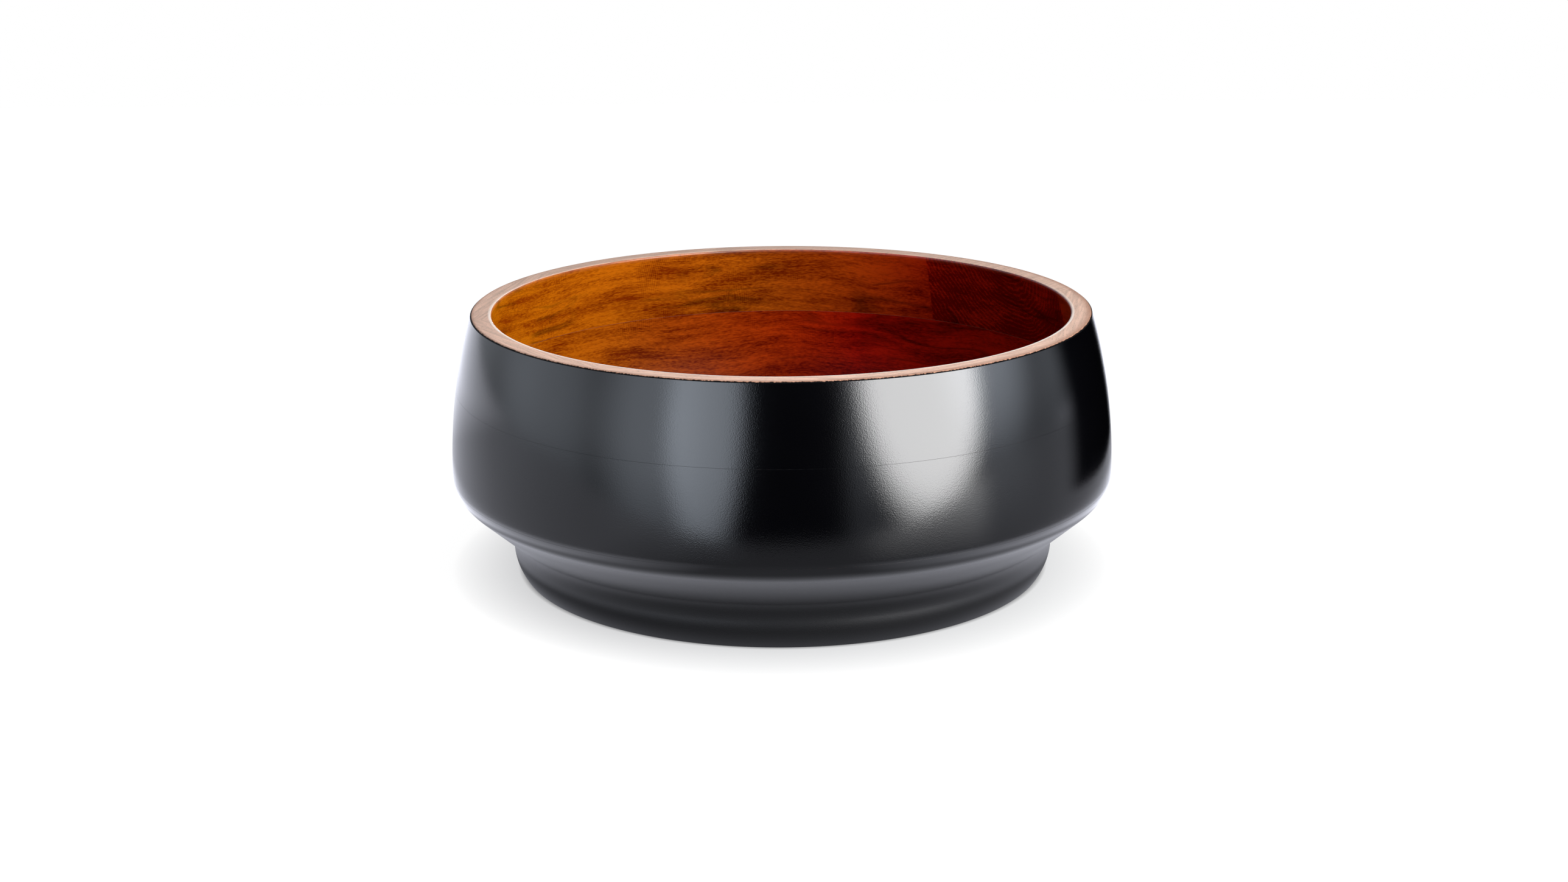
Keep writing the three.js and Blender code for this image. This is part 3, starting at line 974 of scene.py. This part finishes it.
def make_lights(scene):
    """A round softbox at the front right, dim panels round the bowl, and black cards between them."""
    aim = Vector((0, 0, scene.bowl_sizes.height * 0.6))
    lamps = [
        # name, azimuth, distance, height of its middle, width, height, core, radiance, colour
        ("key_softbox", 48, 1.30, 0.46, 1.27, 1.70, 0.6, 15.0, "#ffffff"),
        ("key_spill", 74, 1.30, 0.45, 1.20, 1.30, 0.1, 3.2, "#e7f1ff"),
        ("left_panel", -25, 1.35, 0.34, 0.78, 1.80, 0.5, 3.6, "#e7f1ff"),
        ("left_wing", -42, 1.35, 0.30, 1.25, 1.90, 0.2, 1.8, "#e7f1ff"),
        ("left_fill", -85, 1.50, 0.20, 1.80, 1.60, 0.2, 0.9, "#e7f1ff"),
    ]
    for name, azimuth, distance, height, width, tall, core, radiance, colour in lamps:
        lamp = bpy.data.lights.new(name, "AREA")
        lamp.shape = "ELLIPSE"
        lamp.size = width
        lamp.size_y = tall
        area = math.pi / 4 * width * tall
        lamp.energy = radiance * math.pi * area
        lamp.color = linear(colour)
        soften(lamp, core)
        light = bpy.data.objects.new(name, lamp)
        light.matrix_world = facing(around(azimuth, distance, height), aim)
        scene.collection.objects.link(light)

    # Black cards with soft sides leave the dark bands between the reflections
    card_material, add = new_material("black card")
    place = add("ShaderNodeTexCoord").outputs["Object"]
    x, _, _ = add("ShaderNodeSeparateXYZ", (place,)).outputs
    off_middle = add("ShaderNodeMath", (x,), operation="ABSOLUTE")
    thin = add("ShaderNodeMapRange", (off_middle, 0.3, 0.5), interpolation_type="SMOOTHSTEP")
    black = add("ShaderNodeBsdfDiffuse", {"Color": linear("#000000")})
    clear = add("ShaderNodeBsdfTransparent")
    surface = add("ShaderNodeMixShader", (thin, black, clear))
    add("ShaderNodeOutputMaterial", {"Surface": surface})
    cards = [
        # name, azimuth, distance, height of its middle, width, height
        ("front_card", 3, 1.60, 0.20, 1.30, 1.70),
        ("right_card", 114, 0.29, 0.22, 0.30, 0.44),
    ]
    for name, azimuth, distance, height, width, tall in cards:
        mesh = bpy.data.meshes.new(name)
        mesh.from_pydata([(-0.5, -0.5, 0), (0.5, -0.5, 0), (0.5, 0.5, 0), (-0.5, 0.5, 0)], [], [range(4)])
        mesh.materials.append(card_material)
        card = bpy.data.objects.new(name, mesh)
        place = around(azimuth, distance, height)
        card.matrix_world = facing(place, Vector((0, 0, height))) @ Matrix.Diagonal((width, tall, 1, 1))
        card.visible_camera = False
        card.visible_shadow = False
        card.visible_diffuse = False
        scene.collection.objects.link(card)


def make_camera(scene):
    """The photograph's camera, solved from the rim's ellipse, the silhouettes and the foot."""
    focal_pixels = 3696
    distance, height = 991.3 * MM, 338.4 * MM
    pitch, yaw, roll = (math.radians(a) for a in (-15.970, -0.054, -0.321))
    camera = bpy.data.cameras.new("camera")
    camera.sensor_width = 36
    camera.lens = focal_pixels / PHOTO_WIDTH * camera.sensor_width
    camera.dof.use_dof = False
    eye = bpy.data.objects.new("camera", camera)
    eye.matrix_world = (
        Matrix.Translation((0, -distance, height))
        @ Matrix.Rotation(yaw, 4, "Z")
        @ Matrix.Rotation(math.pi / 2 + pitch, 4, "X")
        @ Matrix.Rotation(roll, 4, "Z"))
    scene.collection.objects.link(eye)
    scene.camera = eye


class VIEW3D_PT_salad_bowl(bpy.types.Panel):
    """The bowl's pieces, sizes and colours"""

    bl_label = "Salad Bowl"
    bl_space_type = "VIEW_3D"
    bl_region_type = "UI"
    bl_category = "Salad Bowl"

    def draw(self, context):
        layout = self.layout
        for operator in OPERATORS:
            layout.operator(operator.bl_idname)
        for group in (context.scene.bowl_sizes, context.scene.bowl_colours):
            column = layout.column()
            for name in group.bl_rna.properties.keys():
                if name not in ("rna_type", "name"):
                    column.prop(group, name)


OPERATORS = (
    SALAD_BOWL_OT_base_boards, SALAD_BOWL_OT_wall_course, SALAD_BOWL_OT_rim_course, SALAD_BOWL_OT_stage)
CLASSES = (BowlSizes, BowlColours, *OPERATORS, VIEW3D_PT_salad_bowl)


def register():
    for cls in CLASSES:
        bpy.utils.register_class(cls)
    bpy.types.Scene.bowl_sizes = PointerProperty(type=BowlSizes)
    bpy.types.Scene.bowl_colours = PointerProperty(type=BowlColours)


def unregister():
    del bpy.types.Scene.bowl_colours
    del bpy.types.Scene.bowl_sizes
    for cls in reversed(CLASSES):
        bpy.utils.unregister_class(cls)


def main():
    register()
    bpy.ops.salad_bowl.base_boards()
    bpy.ops.salad_bowl.wall_course()
    bpy.ops.salad_bowl.rim_course()
    bpy.ops.salad_bowl.stage()


if __name__ == "__main__":
    main()
